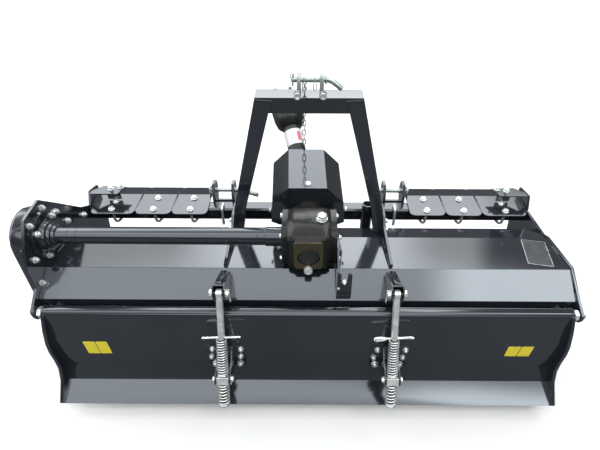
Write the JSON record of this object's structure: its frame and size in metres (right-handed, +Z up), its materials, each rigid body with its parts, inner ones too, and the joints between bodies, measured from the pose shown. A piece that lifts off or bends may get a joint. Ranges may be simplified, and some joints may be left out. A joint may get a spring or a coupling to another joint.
{
  "type": "rotary tiller",
  "caption": "Tractor-mounted rotary tiller with hooded L-tine rotor, side chain drive, sprung tailgate and three-point headstock.",
  "frame": {"origin": "on the ground under the middle of the bounding box", "axes": "+X along the rotor to the bearing side, +Y forward to the tractor, +Z up"},
  "size_m": [2.01, 1.0539, 1.104],
  "materials": {
    "grey_paint": "glossy anthracite blue-grey paint",
    "cast_iron": "dark satin paint on a casting",
    "zinc_plate": "bright zinc plating",
    "bare_steel": "dull forged steel",
    "black_plastic": "satin black moulded plastic"
  },
  "bodies": {
    "frame": {"bearing_hub": "cast_iron", "chain_case": "grey_paint", "corner_wing_left": "grey_paint", "corner_wing_right": "grey_paint", "drive_tube": "cast_iron", "driveline_guard": "black_plastic", "driveline_tunnel": "grey_paint", "front_beam": "grey_paint", "gearbox": "cast_iron", "guard_chain": "zinc_plate", "guard_plate_left_1": "grey_paint", "guard_plate_left_2": "grey_paint", "guard_plate_left_3": "grey_paint", "guard_plate_right_1": "grey_paint", "guard_plate_right_2": "grey_paint", "guard_plate_right_3": "grey_paint", "hitch_bracket_left": "grey_paint", "hitch_bracket_right": "grey_paint", "hitch_pin_left": "zinc_plate", "hitch_pin_right": "zinc_plate", "hood_sheet": "grey_paint", "mast_bar": "grey_paint", "mast_foot_left": "grey_paint", "mast_foot_right": "grey_paint", "mast_leg_left": "grey_paint", "mast_leg_right": "grey_paint", "notch_bracket": "grey_paint", "rod_bracket_left": "grey_paint", "rod_bracket_right": "grey_paint", "side_plate_left": "grey_paint", "side_plate_right": "grey_paint", "skid_left": "grey_paint", "skid_right": "grey_paint", "stand_sleeve": "grey_paint", "top_link_ear_left": "grey_paint", "top_link_ear_right": "grey_paint", "top_link_pin": "zinc_plate"},
    "rotor": {"rotor_tube": "grey_paint", "tine_ring_1": "bare_steel", "tine_ring_2": "bare_steel", "tine_ring_3": "bare_steel", "tine_ring_4": "bare_steel", "tine_ring_5": "bare_steel", "tine_ring_6": "bare_steel", "tine_ring_7": "bare_steel"},
    "tailgate": {"tailgate_sheet": "grey_paint", "gate_bracket_left": "grey_paint", "gate_bracket_right": "grey_paint"},
    "rod_left": {"spring_rod_left": "zinc_plate", "upper_spring_left": "zinc_plate", "lower_spring_left": "zinc_plate"},
    "rod_right": {"spring_rod_right": "zinc_plate", "upper_spring_right": "zinc_plate", "lower_spring_right": "zinc_plate"},
    "trunnion_left": {"trunnion_left": "zinc_plate"},
    "trunnion_right": {"trunnion_right": "zinc_plate"},
    "yoke": {"driveline_yoke": "bare_steel"},
    "stand": {"stand_leg": "zinc_plate"}
  },
  "joints": [
    {"name": "rotor_spin", "type": "hinge", "parent": "frame", "child": "rotor", "pos_m": [0, -0.136, 0.232], "axis": [1, 0, 0], "continuous": true},
    {"name": "tailgate_swing", "type": "hinge", "parent": "frame", "child": "tailgate", "pos_m": [0, -0.324, 0.416], "axis": [-1, 0, 0], "range_deg": [0, 40]},
    {"name": "rod_left_swing", "type": "hinge", "parent": "frame", "child": "rod_left", "pos_m": [-0.295, -0.33, 0.5265], "axis": [-1, 0, 0], "range_deg": [0, 30], "deforming": ["upper_spring_left", "lower_spring_left"]},
    {"name": "trunnion_left_turn", "type": "hinge", "parent": "tailgate", "child": "trunnion_left", "pos_m": [-0.295, -0.466, 0.2345], "axis": [-1, 0, 0], "range_deg": [-13, 0]},
    {"name": "rod_right_swing", "type": "hinge", "parent": "frame", "child": "rod_right", "pos_m": [0.295, -0.33, 0.5265], "axis": [-1, 0, 0], "range_deg": [0, 30], "deforming": ["upper_spring_right", "lower_spring_right"]},
    {"name": "trunnion_right_turn", "type": "hinge", "parent": "tailgate", "child": "trunnion_right", "pos_m": [0.295, -0.466, 0.2345], "axis": [-1, 0, 0], "range_deg": [-13, 0]},
    {"name": "yoke_spin", "type": "hinge", "parent": "frame", "child": "yoke", "pos_m": [-0.10019, 0.45515, 0.84283], "axis": [-0.233, 0.7934, 0.5624], "continuous": true},
    {"name": "stand_slide", "type": "slide", "parent": "frame", "child": "stand", "axis": [0, 0, 1], "range_m": [0, 0.15]}
  ],
  "couplings": [
    {"joint": "rod_left_swing", "follows": "tailgate_swing", "ratio": 0.724},
    {"joint": "trunnion_left_turn", "follows": "tailgate_swing", "ratio": -0.276},
    {"joint": "rod_right_swing", "follows": "tailgate_swing", "ratio": 0.724},
    {"joint": "trunnion_right_turn", "follows": "tailgate_swing", "ratio": -0.276},
    {"joint": "yoke_spin", "follows": "rotor_spin", "ratio": 2.45}
  ]
}
